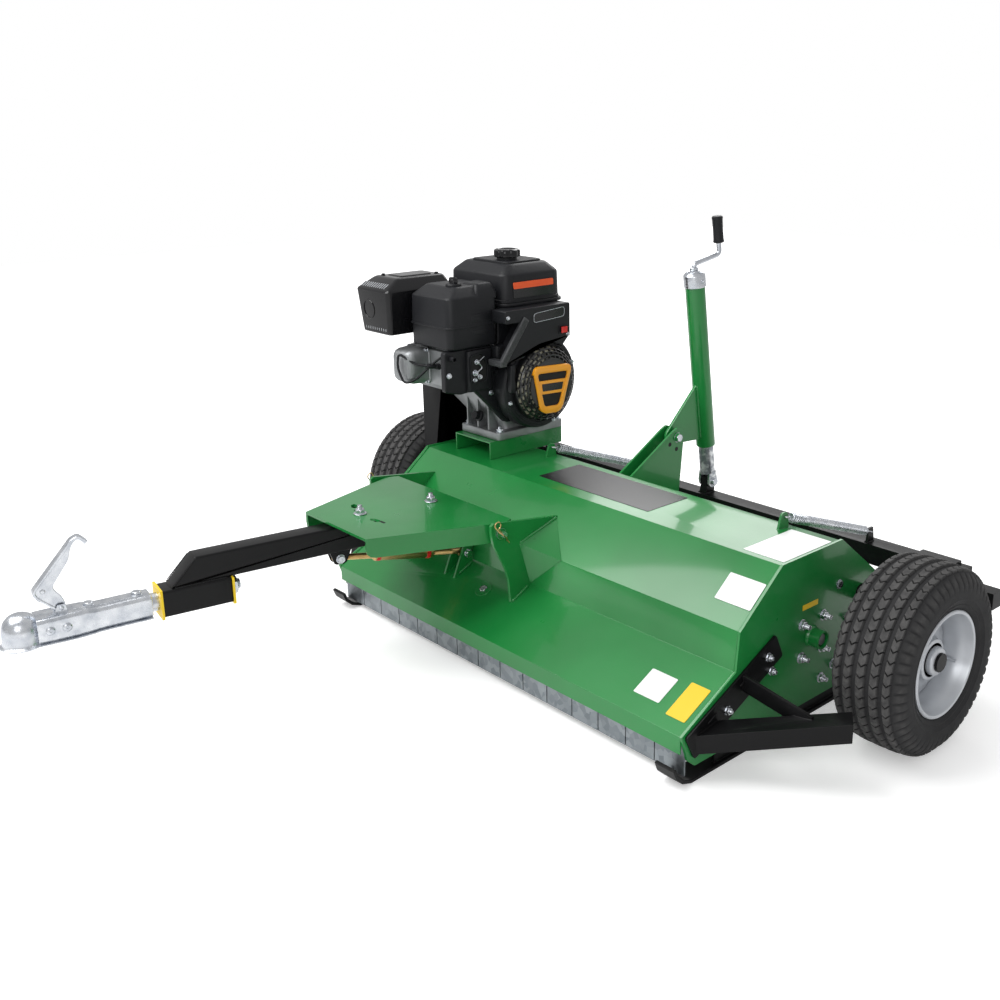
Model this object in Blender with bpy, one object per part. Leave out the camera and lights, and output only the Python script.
"""Towed flail mower with its own engine, built as an assembly of separate solids.

Units are metres, +Z is up, +X is the right-hand side seen from the towing vehicle looking back at
the mower's front, and -Y points forwards to the ball coupler. The mower stands on z = 0 on its
tyres and skids. Lengths along Y are written from the deck's front lip, and at() moves them so that
the origin lies under the middle of the whole machine.
"""

import math

import bpy
import bmesh
import numpy as np
from mathutils import Matrix, Vector
from mathutils.geometry import tessellate_polygon

for old in list(bpy.data.objects):
    bpy.data.objects.remove(old, do_unlink=True)

# Clearances
FIT = 0.0003            # between two pieces that seat on or run in each other
STUD_CLEARANCE = 0.0008
BOLT_CLEARANCE = 0.0012

# Deck weldment, measured along Y from the lip
DECK_HALF_WIDTH = 0.610
SIDE_PLATE = 0.006
HOOD_SHEET = 0.004
EDGE_PROUD = 0.003      # how far the side plates stand above the hood sheet
LIP_TOP = (0.000, 0.110)
LIP_LOW = (0.000, 0.070)
STEP_LOW = (0.160, 0.191)
STEP_HIGH = (0.1695, 0.2746)
TOP_FRONT = (0.3007, 0.380)
TOP_REAR = (0.509, 0.380)
REAR_SHOULDER = (0.656, 0.263)
APRON_LOW = (0.656, 0.145)
SIDE_BOTTOM = 0.034
SIDE_FRONT_FOOT = (0.020, 0.052)
SIDE_REAR_FOOT = (0.628, 0.034)

# Rotor, bearings and belt drive
ROTOR_Y = 0.412
ROTOR_Z = 0.187
ROTOR_TUBE = 0.045
ROTOR_SWING = 0.150
SHAFT = 0.0125
HAMMERS = 16
HAMMER_WIDTH = 0.038
BEARING_FLANGE = 0.102
BEARING_THICK = 0.012
ROTOR_END_GAP = 0.0117
ROTOR_HALF = DECK_HALF_WIDTH - SIDE_PLATE - FIT - BEARING_THICK - ROTOR_END_GAP
STUD_SPACING = 0.075
STUD = 0.005
NUT = 0.0095
NUT_HEIGHT = 0.009
RING_OUTER = 0.021
RING_INNER = 0.0165
RING_REACH = 0.030
RING_SIDES = 14
PULLEY_STANDOFF = 0.030
PULLEY_WIDTH = 0.050
PULLEY_INNER_X = DECK_HALF_WIDTH + PULLEY_STANDOFF
PULLEY_OUTER_X = PULLEY_INNER_X + PULLEY_WIDTH
ROTOR_PULLEY = 0.062
CLUTCH_PULLEY = 0.056
BELT_THICK = 0.008
BELT_LIFT = 0.0012       # between the belt and a pulley's rim
BELT_INSET = 0.007

# Belt guard
GUARD_CLEARANCE = 0.0225
GUARD_DEPTH_X = PULLEY_OUTER_X + GUARD_CLEARANCE
GUARD_SHEET = 0.003
GUARD_LINE = [(0.366, 0.620), (0.366, 0.345), (0.316, 0.250), (0.316, 0.125), (0.352, 0.088),
              (0.470, 0.088), (0.515, 0.130), (0.590, 0.420), (0.600, 0.620), (0.562, 0.672),
              (0.410, 0.672)]

# Flaps under the lip
FLAPS = 15
FLAP_GAP = 0.0028
FLAP_SHEET = 0.004
FLAP_ROD = 0.005
FLAP_BARREL = 0.0085
FLAP_Y = 0.020
FLAP_Z = 0.092
FLAP_BOTTOM = 0.016

# Skids
SKID_SHEET = 0.008
SKID_WEB = 0.006
SKID_WIDTH = 0.052
SKID_HEIGHT = 0.070

# Wheels and axle frame
WHEEL_Y = 0.473
TYRE_RADIUS = 0.200
TYRE_WIDTH = 0.165
TREAD_HALF = TYRE_WIDTH / 2 - 0.017    # from the tyre's middle to the tread's edge
TREAD_TURN = math.radians(52.0)        # swing of the tread's arc to that edge
TREAD_DROP = 0.022
TREAD_RIBS = 5
GROOVE_DEPTH = 0.005
GROOVE_WIDTH = 0.007
BEAD_RADIUS = 0.1025
RIM_SHEET = 0.003
WHEEL_SIDES = 24
STUB = 0.020
PIVOT_Y = 0.590
PIVOT_Z = 0.235
PIVOT_PIN = 0.010
SLEEVE = 0.020
ARM_PLATE = 0.010
ARM_CLEARANCE = 0.004
ARM_INNER_X = GUARD_DEPTH_X + ARM_CLEARANCE
TYRE_CLEARANCE = 0.0085
WHEEL_X = ARM_INNER_X + ARM_PLATE + TYRE_CLEARANCE + TYRE_WIDTH / 2
BEAM_Y = 0.845
BEAM_TOP = 0.250
BEAM_SIZE = 0.050
REAR_BAR_REACH = WHEEL_X - 0.0125
STUB_REACH = WHEEL_X + 0.0625
REAR_BAR_HEIGHT = 0.040
CAP_PLATE = 0.008

# Wheel guards
BAR_SHEET = 0.006
BAR_WIDTH = 0.060
BAR_LENGTH = 0.300
BAR_START = (0.008, 0.107)
BAR_SLOPE = math.radians(25.3)
ARM_HEIGHT = 0.040
ARM_NEAR_Y = 0.034
ARM_NEAR_Z = 0.102
ARM_FAR_Y = 0.097
ARM_FAR_Z = 0.112
ARM_TIP_NEAR = (WHEEL_X + 0.0325, 0.214, 0.153)
ARM_TIP_FAR = (WHEEL_X + 0.0025, 0.254, 0.153)
STRUT_START = (0.178, 0.165)
STRUT_TIP = (WHEEL_X - 0.0455, 0.195, 0.128)
STRUT_SHEET = 0.008
STRUT_HEIGHT = 0.034

# Height jack
JACK_X = -0.060
JACK_PIN = (0.697, 0.440)
CLEVIS_PIN = (0.852, 0.283)
JACK_LEAN = math.radians(7.5)
BRACKET_SHEET = 0.006
BRACKET_SPREAD = 0.039
JACK_SIDES = 14
JACK_TUBE = 0.026
JACK_BORE = 0.0212
JACK_ROD = 0.0205
JACK_TUBE_LENGTH = 0.444
JACK_TUBE_RISE = 0.105     # tube end above the clevis pin, with the jack as photographed
JACK_CAP = 0.029
JACK_CAP_HEIGHT = 0.043
JACK_PIN_RADIUS = 0.008
CLEVIS_PLAY = 0.0042        # play of the clevis on its pin, which the jack's swing needs
CRANK_ROD = 0.0065
CRANK_ARM = 0.082
CRANK_RISE = 0.104
CRANK_TURN = math.radians(-15.0)
GRIP_RADIUS = 0.0145
GRIP_LENGTH = 0.070

# Lift springs
SPRING_X = (-0.300, 0.470)
SPRING_DECK = (0.486, 0.402)
SPRING_BEAM = (0.838, 0.276)
SPRING_RADIUS = 0.0105
SPRING_WIRE = 0.0021
SPRING_HOOK = 0.024         # from an eye to the first curl
SPRING_CURLS = 24
SPRING_POINTS = 8
SPRING_LUG = 0.006
SPRING_EYE = 0.0030

# Hitch
HITCH_X = -0.2665
HINGE_Y = 0.077
HINGE_Z = 0.338
HITCH_TILT = math.radians(-1.5)
HITCH_SHEET = 0.006
HITCH_TOP = 0.0195         # plate top above the hinge rod
HITCH_FRONT = -0.282       # from the hinge rod
HITCH_REAR = 0.048
HITCH_FRONT_HALF = 0.127
HITCH_REAR_HALF = 0.240
HITCH_FLANGE = 0.046
EAR_SHEET = 0.008
EAR_GAP = 0.0012           # between the hitch plate's flange and the ear
EAR_REACH = 0.100          # how far the ear's brace runs out along X
EDGE_CLEARANCE = 0.004     # between a brace and the side plate beside it
HITCH_PIN = 0.008

# Drawbar, in its own frame: origin on the swing pivot, -Y to the coupler
DRAW_PIVOT_Y = 0.063
DRAW_SWING = math.radians(-9.5)
DRAW_TOP = 0.350
DRAW_WIDTH = 0.050
DRAW_HEIGHT = 0.060
DRAW_REAR = 0.032
DRAW_FRONT_TOP = -0.572
DRAW_FRONT_LOW = -0.628
SWIVEL_SIZE = 0.060
SWIVEL_FRONT = -0.648
SWIVEL_REAR = -0.500
BUSH_PLATE = 0.005
BUSH_PROUD = 0.004
SHANK = 0.020
LOCK_RADIUS = 0.183
LOCK_PLAY = math.radians(3.0)      # swing either way that the lock bolt's slot allows
SLOT_SPACING = math.radians(19.5)  # from the lock bolt's slot to the spare slots beside it
SLOT_STEPS = 3
BOLT = 0.006
TURNBUCKLE_Y = -0.243
TURNBUCKLE_Z = 0.268
TURNBUCKLE_REAR = (0.0813, 0.212)
TURNBUCKLE_ROD = 0.0075
TURNBUCKLE_SLEEVE = 0.013
TURNBUCKLE_EYE = 0.0155
TURNBUCKLE_RUN = 0.0006    # between the sliding rod and the sleeve's bore
OPEN_PIVOT = 0.0026        # play of the rear eye on its bolt
CHEEK_GAP = 0.032
LUG_SHEET = 0.006

# Ball coupler, in the drawbar's frame
BALL_SOCKET = 0.0258
DOME_Y = -0.920
DOME_RADIUS = 0.037
DOME_TOP = 0.300
COUPLER_LOW = 0.232
COUPLER_TOP = 0.286
COUPLER_HALF = 0.027
COUPLER_REAR = -0.668
LEVER_PIVOT = (-0.842, 0.2975)
LEVER_THICK = 0.020
LEVER_PIN = 0.003
LEVER_CHEEK = 0.004

# Engine: widths are measured from ENGINE_X, the place of its cylinder plane
ENGINE_X = -DECK_HALF_WIDTH + 0.205
CRANK_Y = 0.485
CRANK_Z = 0.575
BED_LEFT = ENGINE_X - 0.130
BED_RIGHT = ENGINE_X + 0.020
BED_FRONT = 0.345
BED_REAR = 0.600
BED_TOP = 0.425
BED_SHEET = 0.004
BLOCK_LEFT = -0.1947
BLOCK_RIGHT = 0.005
SHROUD_FACE = BLOCK_RIGHT + 0.065
SHROUD_RADIUS = 0.125
DOME_FACE = SHROUD_FACE + 0.040
RECOIL_RADIUS = 0.101
BOX_FACE = SHROUD_FACE + 0.020
FIN_TOP = 0.684
BOX_FRONT = 0.350
BOX_REAR = 0.572
BOX_TOP = 0.782
TANK_BASE = BOX_TOP + FIT
TANK_TOP = 0.893
TANK_FRONT = 0.382
TANK_REAR = 0.588
TANK_LEFT = -0.195
TANK_RIGHT = 0.048
CLEANER_LEFT = -0.143
CLEANER_RIGHT = 0.036
CLEANER_FRONT = 0.214
CLEANER_REAR = 0.378
CLEANER_CLEARANCE = 0.001   # to the shroud's wing and the control box
CAP_RADIUS = 0.036

# Extent along Y, which centres the origin under the machine
FRONT_EXTENT_Y = (DRAW_PIVOT_Y + (DOME_Y - 0.043) * math.cos(DRAW_SWING)
                  + 0.043 * math.cos(DRAW_SWING) - 0.043)
REAR_EXTENT_Y = BEAM_Y + BEAM_SIZE / 2
LIP_Y = -(FRONT_EXTENT_Y + REAR_EXTENT_Y) / 2

AXES = {"X": (1, 2, 0), "Y": (0, 2, 1), "Z": (0, 1, 2)}


def at(x, y, z):
    """World place of a point whose Y is measured from the deck's lip."""
    return Vector((x, y + LIP_Y, z))


def material(name, colour, roughness, metallic=0.0):
    """Principled material with a plain colour."""
    finish = bpy.data.materials.new(name)
    finish.use_nodes = True
    shader = finish.node_tree.nodes["Principled BSDF"]
    shader.inputs["Base Color"].default_value = (*colour, 1.0)
    shader.inputs["Roughness"].default_value = roughness
    shader.inputs["Metallic"].default_value = metallic
    return finish


GREEN = material("green_paint", (0.02, 0.27, 0.07), 0.35)
BLACK = material("black_paint", (0.012, 0.012, 0.013), 0.4)
ZINC = material("bright_zinc", (0.62, 0.64, 0.66), 0.35, 1.0)
GALVANISED = material("galvanised_sheet", (0.33, 0.36, 0.38), 0.5, 0.8)
RUBBER = material("tyre_rubber", (0.02, 0.02, 0.021), 0.8)
RIM_SILVER = material("silver_rim", (0.55, 0.56, 0.58), 0.35, 0.6)
CAST = material("cast_aluminium", (0.35, 0.36, 0.37), 0.5, 0.8)
PLASTIC = material("black_plastic", (0.018, 0.018, 0.02), 0.45)
GOLD_ZINC = material("yellow_zinc", (0.55, 0.38, 0.12), 0.35, 0.9)
BELT = material("belt_rubber", (0.015, 0.015, 0.015), 0.9)
STEEL = material("plain_steel", (0.4, 0.4, 0.4), 0.45, 1.0)
RED = material("red_plastic", (0.6, 0.02, 0.01), 0.4)


def rounded(corners, radius, steps=3):
    """Outline with each corner replaced by an arc; radius may be one number or one per corner."""
    line = []
    count = len(corners)
    radii = radius if isinstance(radius, (list, tuple)) else [radius] * count
    for index, corner in enumerate(corners):
        here = Vector(corner)
        before = (Vector(corners[index - 1]) - here)
        after = (Vector(corners[(index + 1) % count]) - here)
        if radii[index] <= 0:
            line.append(tuple(here))
            continue
        half = before.angle(after) / 2
        reach = min(radii[index] / math.tan(half), before.length * 0.49, after.length * 0.49)
        start = here + before.normalized() * reach
        end = here + after.normalized() * reach
        for step in range(steps + 1):
            t = step / steps
            line.append(tuple((1 - t) ** 2 * start + 2 * t * (1 - t) * here + t ** 2 * end))
    return line


def circle(centre, radius, sides=16, turn=0.0):
    """Points of a circle in an outline's plane."""
    return [(centre[0] + radius * math.cos(turn + 2 * math.pi * i / sides),
             centre[1] + radius * math.sin(turn + 2 * math.pi * i / sides)) for i in range(sides)]


def bore(centre, radius, sides=12):
    """Hole in an outline whose flats clear a round pin of the given radius."""
    return circle(centre, (radius + FIT) / math.cos(math.pi / sides), sides, math.pi / sides)


def box_line(low_a, high_a, low_b, high_b):
    """Four corners of a rectangle."""
    return [(low_a, low_b), (high_a, low_b), (high_a, high_b), (low_a, high_b)]


def offset_line(points, distance):
    """Open line moved to its left by distance, with mitred corners."""
    moved = []
    for index, point in enumerate(points):
        here = Vector(point)
        normals = []
        if index > 0:
            along = (here - Vector(points[index - 1])).normalized()
            normals.append(Vector((-along.y, along.x)))
        if index < len(points) - 1:
            along = (Vector(points[index + 1]) - here).normalized()
            normals.append(Vector((-along.y, along.x)))
        mean = sum(normals, Vector((0, 0))).normalized()
        moved.append(tuple(here + mean * distance / mean.dot(normals[0])))
    return moved


def height_on(line, y):
    """Height of an open line of (y, z) points at y, on its first stretch that spans y."""
    for (y0, z0), (y1, z1) in zip(line, line[1:]):
        if min(y0, y1) <= y <= max(y0, y1) and y0 != y1:
            return z0 + (z1 - z0) * (y - y0) / (y1 - y0)
    raise ValueError("y is outside the line")


def prism(loops, low, high, axis="X"):
    """Outline with holes, extruded along an axis: outline (y, z) for X, (x, z) for Y, (x, y) for Z."""
    a, b, c = AXES[axis]
    points = [point for loop in loops for point in loop]
    flat = [[Vector((p[0], p[1], 0.0)) for p in loop] for loop in loops]
    caps = tessellate_polygon(flat)
    count = len(points)
    verts = []
    for level in (low, high):
        for point in points:
            vert = [0.0, 0.0, 0.0]
            vert[a], vert[b], vert[c] = point[0], point[1], level
            verts.append(tuple(vert))
    faces = [tuple(tri) for tri in caps] + [tuple(i + count for i in reversed(tri)) for tri in caps]
    start = 0
    for loop in loops:
        size = len(loop)
        for i in range(size):
            j = (i + 1) % size
            faces.append((start + i, start + j, start + j + count, start + i + count))
        start += size
    return verts, faces


def turned(profile, steps, axis="X", centre=(0.0, 0.0), closed=False, turn=0.0):
    """Profile of (radius, place) points turned about an axis; closed joins its last point to its first."""
    a, b, c = AXES[axis]
    verts, rings = [], []
    for radius, place in profile:
        sides = 1 if radius == 0 else steps
        ring = []
        for i in range(sides):
            angle = turn + 2 * math.pi * i / steps
            vert = [0.0, 0.0, 0.0]
            vert[a] = centre[0] + radius * math.cos(angle)
            vert[b] = centre[1] + radius * math.sin(angle)
            vert[c] = place
            ring.append(len(verts))
            verts.append(tuple(vert))
        rings.append(ring)
    faces = []
    pairs = list(zip(rings, rings[1:]))
    if closed:
        pairs.append((rings[-1], rings[0]))
    for low, high in pairs:
        for i in range(steps):
            j = (i + 1) % steps
            corners = [low[i % len(low)], low[j % len(low)], high[j % len(high)], high[i % len(high)]]
            corners = list(dict.fromkeys(corners))
            if len(corners) > 2:
                faces.append(tuple(corners))
    for ring in (rings[0], rings[-1]):
        if not closed and len(ring) > 1:
            faces.append(tuple(ring))
    return verts, faces


def stacked(rings, corner, steps=2, axis="Z"):
    """Rounded rectangles (place, a0, a1, b0, b1) joined one above the next along an axis."""
    a, b, c = AXES[axis]
    verts, faces = [], []
    size = 0
    for place, a0, a1, b0, b1 in rings:
        line = rounded(box_line(a0, a1, b0, b1), corner, steps)
        size = len(line)
        for point in line:
            vert = [0.0, 0.0, 0.0]
            vert[a], vert[b], vert[c] = point[0], point[1], place
            verts.append(tuple(vert))
    for level in range(len(rings) - 1):
        for i in range(size):
            j = (i + 1) % size
            base = level * size
            faces.append((base + i, base + j, base + j + size, base + i + size))
    faces.append(tuple(range(size)))
    faces.append(tuple(range(len(verts) - size, len(verts))))
    return verts, faces


def swept(path, radius, sides=8):
    """Round bar along a list of points, carried by a frame that doesn't twist."""
    line = [Vector(point) for point in path]
    verts, faces = [], []
    along = (line[1] - line[0]).normalized()
    side = along.orthogonal().normalized()
    for index, point in enumerate(line):
        ahead = line[min(index + 1, len(line) - 1)] - line[max(index - 1, 0)]
        ahead.normalize()
        side = (side - ahead * side.dot(ahead)).normalized()
        up = ahead.cross(side)
        for i in range(sides):
            angle = 2 * math.pi * i / sides
            verts.append(tuple(point + (side * math.cos(angle) + up * math.sin(angle)) * radius))
    for index in range(len(line) - 1):
        for i in range(sides):
            j = (i + 1) % sides
            base = index * sides
            faces.append((base + i, base + j, base + j + sides, base + i + sides))
    faces.append(tuple(range(sides)))
    faces.append(tuple(range(len(verts) - sides, len(verts))))
    return verts, faces


def hexahedron(ends):
    """Straight member between two ends of four corners each."""
    faces = [(0, 1, 2, 3), (4, 5, 6, 7), (0, 1, 5, 4), (1, 2, 6, 5), (2, 3, 7, 6), (3, 0, 4, 7)]
    return [corner for end in ends for corner in end], faces


def mirrored(solid):
    """Solid reflected in the plane x = 0."""
    verts, faces = solid
    return [(-x, y, z) for x, y, z in verts], [tuple(reversed(face)) for face in faces]


def placed(solid, matrix):
    """Solid moved by a matrix."""
    verts, faces = solid
    return [tuple(matrix @ Vector(vert)) for vert in verts], faces


def mesh_of(name, solid):
    """Mesh with its faces pointing outwards."""
    mesh = bpy.data.meshes.new(name)
    mesh.from_pydata([tuple(vert) for vert in solid[0]], [], solid[1])
    work = bmesh.new()
    work.from_mesh(mesh)
    bmesh.ops.remove_doubles(work, verts=work.verts, dist=0.00001)
    bmesh.ops.recalc_face_normals(work, faces=work.faces)
    work.to_mesh(mesh)
    work.free()
    return mesh


def combine(solids, operation):
    """One solid from overlapping closed solids, by an exact union or by cutting the first."""
    helpers = []
    for solid in solids:
        helper = bpy.data.objects.new("helper", mesh_of("helper", solid))
        bpy.context.scene.collection.objects.link(helper)
        helpers.append(helper)
    for tool in helpers[1:]:
        step = helpers[0].modifiers.new("step", "BOOLEAN")
        step.operation = operation
        step.solver = "EXACT"
        step.object = tool
    graph = bpy.context.evaluated_depsgraph_get()
    result = bpy.data.meshes.new_from_object(helpers[0].evaluated_get(graph))
    solid = ([tuple(vert.co) for vert in result.vertices],
             [tuple(face.vertices) for face in result.polygons])
    for helper in helpers:
        bpy.data.objects.remove(helper, do_unlink=True)
    return solid


def weld(*solids):
    """Union of welded members that overlap each other."""
    return combine(solids, "UNION")


def drill(solid, *tools):
    """Solid with the tools cut out of it."""
    return combine((solid, *tools), "DIFFERENCE")


def piece(name, solid, finish, pivot=(0.0, 0.0, 0.0), rotation=(0.0, 0.0, 0.0), local=False):
    """Named object with its origin on its pivot; local solids are already drawn from the pivot."""
    verts, faces = solid
    if not local:
        verts = [(x - pivot[0], y - pivot[1], z - pivot[2]) for x, y, z in verts]
    mesh = mesh_of(name, (verts, faces))
    mesh.materials.append(finish)
    mesh.shade_smooth()
    mesh.set_sharp_from_angle(angle=math.radians(32))
    made = bpy.data.objects.new(name, mesh)
    made.location = at(*pivot)
    made.rotation_euler = rotation
    bpy.context.scene.collection.objects.link(made)
    return made


# Hood: one bent sheet between the side plates, with the lugs that are welded to it
side_top_line = [LIP_LOW, LIP_TOP, STEP_LOW, STEP_HIGH, TOP_FRONT, TOP_REAR, REAR_SHOULDER, APRON_LOW]
hood_outer = offset_line(side_top_line, -EDGE_PROUD)
hood_inner = offset_line(side_top_line, -EDGE_PROUD - HOOD_SHEET)
hood_seat = offset_line(side_top_line, -EDGE_PROUD + FIT)
hood_half = DECK_HALF_WIDTH - SIDE_PLATE - FIT
hood_parts = [prism([hood_outer + hood_inner[::-1]], -hood_half, hood_half)]
hood_top = TOP_REAR[1] - EDGE_PROUD
for spring_x in SPRING_X:
    lug_line = rounded([(SPRING_DECK[0] - 0.022, hood_top - 0.002),
                        (SPRING_DECK[0] + 0.016, hood_top - 0.002),
                        (SPRING_DECK[0] + 0.010, SPRING_DECK[1] + 0.010),
                        (SPRING_DECK[0] - 0.010, SPRING_DECK[1] + 0.010)], [0, 0, 0.008, 0.008], 2)
    hood_parts.append(prism([lug_line, circle(SPRING_DECK, SPRING_EYE, 8)],
                            spring_x - SPRING_LUG / 2, spring_x + SPRING_LUG / 2))
buckle_rear_y = DRAW_PIVOT_Y + TURNBUCKLE_REAR[0] * math.cos(DRAW_SWING)
buckle_rear_x = HITCH_X - TURNBUCKLE_REAR[0] * math.sin(DRAW_SWING)
cheek_line = [(buckle_rear_y - 0.046, height_on(hood_outer, buckle_rear_y - 0.046) - 0.002),
              (STEP_LOW[0] - 0.002, height_on(hood_outer, STEP_LOW[0] - 0.002) - 0.002),
              (STEP_LOW[0] - 0.002, TURNBUCKLE_REAR[1] + 0.020),
              (buckle_rear_y - 0.012, TURNBUCKLE_REAR[1] + 0.020)]
for side in (-1, 1):
    cheek = sorted((buckle_rear_x + side * CHEEK_GAP / 2,
                    buckle_rear_x + side * (CHEEK_GAP / 2 + LUG_SHEET)))
    hood_parts.append(prism([cheek_line], *cheek))
cheek_bolt = CHEEK_GAP / 2 + LUG_SHEET + 0.008
hood_parts.append(turned([(0, buckle_rear_x - cheek_bolt), (NUT, buckle_rear_x - cheek_bolt),
                          (NUT, buckle_rear_x - cheek_bolt + 0.009),
                          (BOLT, buckle_rear_x - cheek_bolt + 0.009),
                          (BOLT, buckle_rear_x + cheek_bolt - 0.009),
                          (NUT, buckle_rear_x + cheek_bolt - 0.009),
                          (NUT, buckle_rear_x + cheek_bolt), (0, buckle_rear_x + cheek_bolt)], 6, "X",
                         (buckle_rear_y, TURNBUCKLE_REAR[1])))
piece("hood", weld(*hood_parts), GREEN)

# Side plates, with holes for the bearings, the axle pivots and their studs
side_outline = side_top_line[1:-1] + [(REAR_SHOULDER[0], 0.080), SIDE_REAR_FOOT,
                                      (SIDE_FRONT_FOOT[0] + 0.020, SIDE_BOTTOM), SIDE_FRONT_FOOT]
side_outline = rounded(side_outline, [0, 0, 0, 0, 0, 0, 0.03, 0.03, 0.01, 0.01], 3)
stud_places = [(ROTOR_Y + a * STUD_SPACING / 2, ROTOR_Z + b * STUD_SPACING / 2)
               for a, b in ((-1, -1), (1, -1), (1, 1), (-1, 1))]
side_holes = [bore((ROTOR_Y, ROTOR_Z), RING_OUTER, RING_SIDES),
              bore((PIVOT_Y, PIVOT_Z), PIVOT_PIN)]
side_holes += [circle(place, STUD + STUD_CLEARANCE, 8) for place in stud_places]
side_solid = prism([side_outline] + side_holes, DECK_HALF_WIDTH - SIDE_PLATE, DECK_HALF_WIDTH)
piece("side_plate_right", side_solid, GREEN)
piece("side_plate_left", mirrored(side_solid), GREEN)

# Bearing housings: a flange inside the side plate, four studs with nuts outside, a guard ring
side_inner = DECK_HALF_WIDTH - SIDE_PLATE
for hand, side, reach in (("right", 1, RING_REACH), ("left", -1, 0.012)):
    flange_line = rounded(box_line(ROTOR_Y - BEARING_FLANGE / 2, ROTOR_Y + BEARING_FLANGE / 2,
                                   ROTOR_Z - BEARING_FLANGE / 2, ROTOR_Z + BEARING_FLANGE / 2), 0.015, 1)
    flange = prism([flange_line, bore((ROTOR_Y, ROTOR_Z), SHAFT, 14)],
                   side_inner - FIT - BEARING_THICK, side_inner - FIT)
    parts = [flange]
    ring_start = side_inner - FIT - BEARING_THICK / 2
    parts.append(turned([(RING_INNER, ring_start), (RING_OUTER, ring_start),
                         (RING_OUTER, DECK_HALF_WIDTH + reach), (RING_INNER, DECK_HALF_WIDTH + reach)],
                        RING_SIDES, "X", (ROTOR_Y, ROTOR_Z), closed=True))
    nut_face = DECK_HALF_WIDTH + FIT
    for place in stud_places:
        parts.append(turned([(0, ring_start), (STUD, ring_start), (STUD, nut_face + 0.0005),
                             (NUT, nut_face + 0.0005), (NUT, nut_face + NUT_HEIGHT),
                             (0, nut_face + NUT_HEIGHT)], 6, "X", place))
    housing = weld(*parts)
    piece(f"bearing_{hand}", housing if side > 0 else mirrored(housing), GREEN)

# Rotor: tube, stub shafts, hammers in four rows and the driven pulley on the left shaft end
shaft_right = DECK_HALF_WIDTH + RING_REACH - 0.004
shaft_left = -PULLEY_OUTER_X - 0.008
rotor_parts = [turned([(0, shaft_left), (SHAFT, shaft_left), (SHAFT, -ROTOR_HALF), (ROTOR_TUBE, -ROTOR_HALF),
                       (ROTOR_TUBE, ROTOR_HALF), (SHAFT, ROTOR_HALF), (SHAFT, shaft_right),
                       (0, shaft_right)], 16, "X", (ROTOR_Y, ROTOR_Z))]
pulley_line = [(0, -PULLEY_OUTER_X), (ROTOR_PULLEY, -PULLEY_OUTER_X), (ROTOR_PULLEY, -PULLEY_INNER_X),
               (0.026, -PULLEY_INNER_X), (0.026, -PULLEY_INNER_X + 0.010), (0, -PULLEY_INNER_X + 0.010)]
rotor_parts.append(turned(pulley_line, 20, "X", (ROTOR_Y, ROTOR_Z)))
for index in range(HAMMERS):
    place = -ROTOR_HALF + 0.035 + index * (2 * ROTOR_HALF - 0.07) / (HAMMERS - 1)
    angle = math.radians(90 * (index % 4) + 22.5 * (index % 2))
    outline = [(0.038, -0.007), (0.108, -0.007), (ROTOR_SWING, -0.016), (ROTOR_SWING, 0.010), (0.108, 0.007),
               (0.038, 0.007)]
    turned_line = [(ROTOR_Y + r * math.cos(angle) - t * math.sin(angle),
                    ROTOR_Z + r * math.sin(angle) + t * math.cos(angle)) for r, t in outline]
    rotor_parts.append(prism([turned_line], place - HAMMER_WIDTH / 2, place + HAMMER_WIDTH / 2))
piece("rotor", weld(*rotor_parts), STEEL, (0.0, ROTOR_Y, ROTOR_Z))

# Clutch pulley on the engine's output shaft
clutch_line = [(0, -PULLEY_OUTER_X), (CLUTCH_PULLEY, -PULLEY_OUTER_X), (CLUTCH_PULLEY, -PULLEY_INNER_X),
               (0.036, -PULLEY_INNER_X), (0.036, -PULLEY_INNER_X + 0.020), (SHAFT, -PULLEY_INNER_X + 0.020),
               (SHAFT, ENGINE_X + BLOCK_LEFT - FIT), (0, ENGINE_X + BLOCK_LEFT - FIT)]
piece("clutch_pulley", turned(clutch_line, 20, "X", (CRANK_Y, CRANK_Z)), STEEL, (0.0, CRANK_Y, CRANK_Z))


def belt_loop(first, first_radius, second, second_radius, steps=9):
    """Outline round two circles, tangent to both."""
    first, second = Vector(first), Vector(second)
    across = second - first
    heading = math.atan2(across.y, across.x)
    lean = math.acos((first_radius - second_radius) / across.length)
    line = []
    for index in range(steps + 1):
        angle = heading + lean + (2 * math.pi - 2 * lean) * index / steps
        line.append(tuple(first + first_radius * Vector((math.cos(angle), math.sin(angle)))))
    for index in range(steps + 1):
        angle = heading - lean + 2 * lean * index / steps
        line.append(tuple(second + second_radius * Vector((math.cos(angle), math.sin(angle)))))
    return line


belt_ends = [(ROTOR_PULLEY + BELT_LIFT + extra, CLUTCH_PULLEY + BELT_LIFT + extra) for extra in (0,
                                                                                                 BELT_THICK)]
belt_inner, belt_outer = [belt_loop((ROTOR_Y, ROTOR_Z), low_end, (CRANK_Y, CRANK_Z), high_end)
                          for low_end, high_end in belt_ends]
piece("drive_belt", prism([belt_outer, belt_inner], -PULLEY_OUTER_X + BELT_INSET,
                          -PULLEY_INNER_X - BELT_INSET),
      BELT)

# Belt guard: a pan that opens towards the side plate and the engine
guard_inner = offset_line(GUARD_LINE[-1:] + GUARD_LINE + GUARD_LINE[:1], GUARD_SHEET)[1:-1]
guard_parts = [prism([GUARD_LINE, guard_inner], -GUARD_DEPTH_X + 0.001, -DECK_HALF_WIDTH - FIT),
               prism([GUARD_LINE], -GUARD_DEPTH_X, -GUARD_DEPTH_X + GUARD_SHEET)]
piece("belt_guard", weld(*guard_parts), BLACK)

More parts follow.
